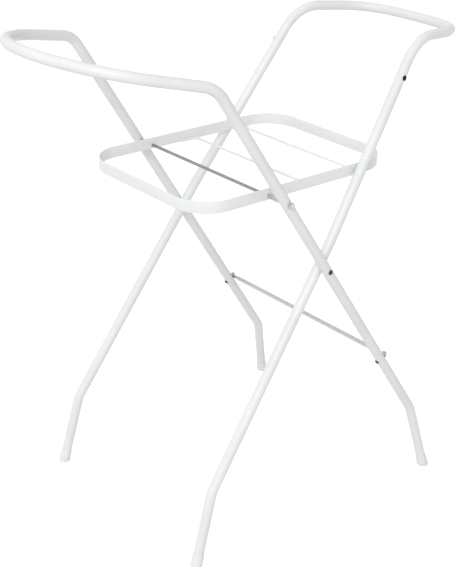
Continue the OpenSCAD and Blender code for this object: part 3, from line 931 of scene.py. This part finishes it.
BAR_SIDES = 48
BAR_MIDDLE_STEPS = 4
BAR_NECK_STEPS = 12
BAR_END_STEPS = 14
BAR_TIP_SHARE = 1e-4
BAR_END_THINNING = 0.3
BAR_END_BLUNTNESS = 6
ROUND_POWER = 2
SQUARE_POWER = 7


def bar_section(y):
    """Half width, half thickness and squareness of the bar's section at a distance from the middle."""
    t = min(1, max(0, (y - BAR_ROUND_END) / BAR_NECK))
    eased = t * t * (3 - 2 * t)
    past = min(1, max(0, (y - BAR_HW) / (BAR_FLAT_W / 2)))
    round_end = math.sqrt(max(BAR_TIP_SHARE, 1 - past * past))
    thin_end = 1 - BAR_END_THINNING * past ** BAR_END_BLUNTNESS
    return (mix(BAR_D, BAR_FLAT_W, eased) / 2 * round_end, mix(BAR_D, BAR_FLAT_T, eased) / 2 * thin_end,
            mix(ROUND_POWER, SQUARE_POWER, eased))


def bar_stations():
    """Distances from the middle at which the bar's section is drawn, close where it changes."""
    half = [BAR_ROUND_END * k / BAR_MIDDLE_STEPS for k in range(1, BAR_MIDDLE_STEPS)]
    half += [BAR_ROUND_END + BAR_NECK * k / BAR_NECK_STEPS for k in range(BAR_NECK_STEPS + 1)]
    half += [BAR_HW + BAR_FLAT_W / 2 * math.sin(math.pi / 2 * k / BAR_END_STEPS)
             for k in range(BAR_END_STEPS + 1)]
    return [-y for y in reversed(half)] + [0] + half


def squared_circle(power, a):
    """A point at angle a of a unit circle that a power over 2 makes squarer."""
    return [math.copysign(abs(v) ** (2 / power), v) for v in (math.cos(a), math.sin(a))]


def make_cross_bar():
    """The bar, round in its middle, with pressed flat ends drilled for the screws."""
    bm = bmesh.new()
    rings = []
    for y in bar_stations():
        half_w, half_t, power = bar_section(abs(y))
        points = [squared_circle(power, 2 * math.pi * k / BAR_SIDES) for k in range(BAR_SIDES)]
        rings.append([bm.verts.new((u * half_w, y, v * half_t + BAR_OFF)) for u, v in points])
    for a, b in zip(rings, rings[1:]):
        bridge(bm, a, b)
    bm.faces.new(rings[0])
    bm.faces.new(rings[-1])
    turn = Matrix.Translation(place(BAR_X, 0, 0, BAR_H)) @ Matrix.Rotation(math.pi / 2 - LEAN, 4, "Y")
    piece = stands_for("cross_bar", "cross_bar_pressed", moved(bm, turn))
    carve(piece, "DIFFERENCE", *screw_cutters(BAR_OFF + 2 * BAR_FLAT_T))


THREAD_PITCH = 0.8 * MM
THREAD_DEPTH = 0.3 * MM
THREAD_LEAD = 0.4 * MM
SCREW_TIP_CHAMFER = 0.3 * MM
SCREW_HEAD_LAND = 0.5 * MM
CROSS_ARM = 2.3 * MM
CROSS_SLOT = 0.55 * MM
CROSS_DEEP = 1.4 * MM
CROSS_TAPER = 0.7


def cross_cutters(head_z, matrix):
    """The two slots of a cross in a screw's head, which draw in towards their floor."""
    floor_z = head_z + SCREW_HEAD_H - CROSS_DEEP
    top_z = head_z + 2 * SCREW_HEAD_H
    cuts = []
    for half_x, half_y in ((CROSS_ARM, CROSS_SLOT), (CROSS_SLOT, CROSS_ARM)):
        floor_x = half_x * CROSS_TAPER
        points = [Vector((x, 0, z)) for x, z in (
            (-floor_x, floor_z), (floor_x, floor_z), (half_x, top_z), (-half_x, top_z))]
        cuts.append(tool(moved(prism(points, -half_y, half_y), matrix)))
    return cuts


def make_screws():
    """Cross-headed screws, whose heads are on the legs' under side, and their nuts."""
    head_z = TUBE_R + SEAT_GAP
    nut_z = BAR_OFF + BAR_FLAT_T / 2
    tip = nut_z + SCREW_NUT_H + THREAD_END
    r = SCREW_D / 2
    core_r = r - THREAD_DEPTH
    thread = []
    for k in range(int((tip - BAR_OFF) / THREAD_PITCH)):
        root_z = -tip + THREAD_LEAD + THREAD_PITCH * k
        thread += [(core_r, root_z), (r, root_z + THREAD_PITCH / 2)]
    shape = [(0, -tip), (core_r - SCREW_TIP_CHAMFER, -tip), *thread, (r, head_z),
             (SCREW_HEAD_D / 2, head_z),
             *dome(SCREW_HEAD_D, SCREW_HEAD_H - SCREW_HEAD_LAND, head_z + SCREW_HEAD_LAND)]
    seats = [at_bar(side) @ Matrix.Rotation(math.pi, 4, "X") for side in SIDES]
    screws = stands_for("cross_bar_screws", "cross_bar_screws_cross_head", joined(
        moved(turned(shape), at) for at in seats))
    carve(screws, "DIFFERENCE", *(cut for at in seats for cut in cross_cutters(head_z, at)))
    stands_for("cross_bar_nuts", "cross_bar_nuts_plated", joined(
        nut(SCREW_NUT_AF, SCREW_NUT_H, r + SEAT_GAP, False,
            at_bar(side) @ Matrix.Translation((0, 0, nut_z))) for side in SIDES))


make_outer_frame()
make_inner_frame()
make_feet()
make_band()
make_wire("shelf_wire_middle", "shelf_wire_middle_welded", WIRE_MIDDLE_X, -1, WIRE_MIDDLE_TAB)
make_wire("shelf_wire_end", "shelf_wire_end_welded", STUD_X + WIRE_END_OFF, 1, WIRE_END_TAB)
make_studs()
make_pivots()
make_rod()
make_plugs()
make_cross_bar()
make_screws()

# ---- floor, light and camera ----

FLOOR_SIZE = 12
FLOOR_GLOW = 0.9
FLOOR_SHOWN_GREY = 0.3
FLOOR_GREY = 0.75
AMBIENT_LEFT = 0.95
AMBIENT_RIGHT = 0.1
KEY_AT = Vector((-2.3, -2.0, 2.5))
KEY_AIM = Vector((0, 0, 0.5))
KEY_SIZE = 1.0
KEY_POWER = 29
CAMERA_AT = Vector((-1386.79, -1567.26, 1404.89)) * MM
CAMERA_YAW = 0.7169
CAMERA_PITCH = 0.4441
CAMERA_ROLL = 0.0316
FOCAL_PX = 1203.26
PHOTO_W = 456
SENSOR = 36.0
CLIP_END = 100


def seen_ray(tree):
    """1 for rays that show a thing to the camera, straight or in gloss or glass, else 0."""
    path = tree.nodes.new("ShaderNodeLightPath")
    seen = path.outputs["Is Camera Ray"]
    for ray in ("Is Glossy Ray", "Is Transmission Ray"):
        either = tree.nodes.new("ShaderNodeMath")
        either.operation = "MAXIMUM"
        tree.links.new(seen, either.inputs[0])
        tree.links.new(path.outputs[ray], either.inputs[1])
        seen = either.outputs[0]
    return seen


def make_floor():
    """A plain floor that shows as white, with the stand's soft shadow, and lights as pale grey."""
    bm = bmesh.new()
    bmesh.ops.create_grid(bm, x_segments=1, y_segments=1, size=FLOOR_SIZE)
    m = bpy.data.materials.new("floor_white")
    m.use_nodes = True
    tree = m.node_tree
    tree.nodes.clear()
    out = tree.nodes.new("ShaderNodeOutputMaterial")
    plain = tree.nodes.new("ShaderNodeBsdfDiffuse")
    plain.inputs["Color"].default_value = (*grey(FLOOR_GREY), 1)
    seen_lit = tree.nodes.new("ShaderNodeBsdfDiffuse")
    seen_lit.inputs["Color"].default_value = (*grey(FLOOR_SHOWN_GREY), 1)
    glow = tree.nodes.new("ShaderNodeEmission")
    glow.inputs["Strength"].default_value = FLOOR_GLOW
    seen = tree.nodes.new("ShaderNodeAddShader")
    tree.links.new(seen_lit.outputs[0], seen.inputs[0])
    tree.links.new(glow.outputs[0], seen.inputs[1])
    pick = tree.nodes.new("ShaderNodeMixShader")
    tree.links.new(seen_ray(tree), pick.inputs["Fac"])
    tree.links.new(plain.outputs[0], pick.inputs[1])
    tree.links.new(seen.outputs[0], pick.inputs[2])
    tree.links.new(pick.outputs[0], out.inputs["Surface"])
    floor = add_object("floor", bm, m)


def make_world():
    """White to the camera and in reflections; otherwise soft light, even on -X, that fades towards +X."""
    world = bpy.data.worlds.new("studio")
    bpy.context.scene.world = world
    world.use_nodes = True
    tree = world.node_tree
    back = tree.nodes["Background"]
    back.inputs["Color"].default_value = (1, 1, 1, 1)
    where = tree.nodes.new("ShaderNodeTexCoord")
    along = tree.nodes.new("ShaderNodeSeparateXYZ")
    tree.links.new(where.outputs["Generated"], along.inputs["Vector"])
    slope = tree.nodes.new("ShaderNodeMapRange")
    slope.inputs["To Min"].default_value = AMBIENT_LEFT
    slope.inputs["To Max"].default_value = AMBIENT_RIGHT
    tree.links.new(along.outputs["X"], slope.inputs["Value"])
    level = tree.nodes.new("ShaderNodeMapRange")
    level.inputs["To Max"].default_value = 1.0
    tree.links.new(slope.outputs["Result"], level.inputs["To Min"])
    tree.links.new(seen_ray(tree), level.inputs["Value"])
    tree.links.new(level.outputs["Result"], back.inputs["Strength"])


def make_key_lamp():
    """A soft square lamp, left of the camera, that faces the stand."""
    light = bpy.data.lights.new("key", "AREA")
    light.shape = "SQUARE"
    light.size = KEY_SIZE
    light.energy = KEY_POWER
    held = bpy.data.objects.new("key", light)
    held.location = KEY_AT
    held.rotation_mode = "QUATERNION"
    held.rotation_quaternion = (KEY_AT - KEY_AIM).to_track_quat("Z", "Y")
    bpy.context.scene.collection.objects.link(held)


def make_camera():
    """The photograph's camera: yaw is from +Y towards +X, pitch is downwards."""
    forward = Vector((math.sin(CAMERA_YAW) * math.cos(CAMERA_PITCH),
                      math.cos(CAMERA_YAW) * math.cos(CAMERA_PITCH), -math.sin(CAMERA_PITCH)))
    right = Vector((math.cos(CAMERA_YAW), -math.sin(CAMERA_YAW), 0))
    up = right.cross(forward)
    side = right * math.cos(CAMERA_ROLL) + up * math.sin(CAMERA_ROLL)
    top = up * math.cos(CAMERA_ROLL) - right * math.sin(CAMERA_ROLL)
    data = bpy.data.cameras.new("photo_camera")
    data.sensor_fit = "HORIZONTAL"
    data.sensor_width = SENSOR
    data.lens = FOCAL_PX * SENSOR / PHOTO_W
    data.clip_end = CLIP_END
    camera = bpy.data.objects.new("photo_camera", data)
    turn = Matrix((side, top, -forward)).transposed().to_4x4()
    camera.matrix_world = Matrix.Translation(CAMERA_AT) @ turn
    bpy.context.scene.collection.objects.link(camera)
    bpy.context.scene.camera = camera


make_floor()
make_world()
make_key_lamp()
make_camera()
bpy.context.scene.view_settings.view_transform = "Standard"
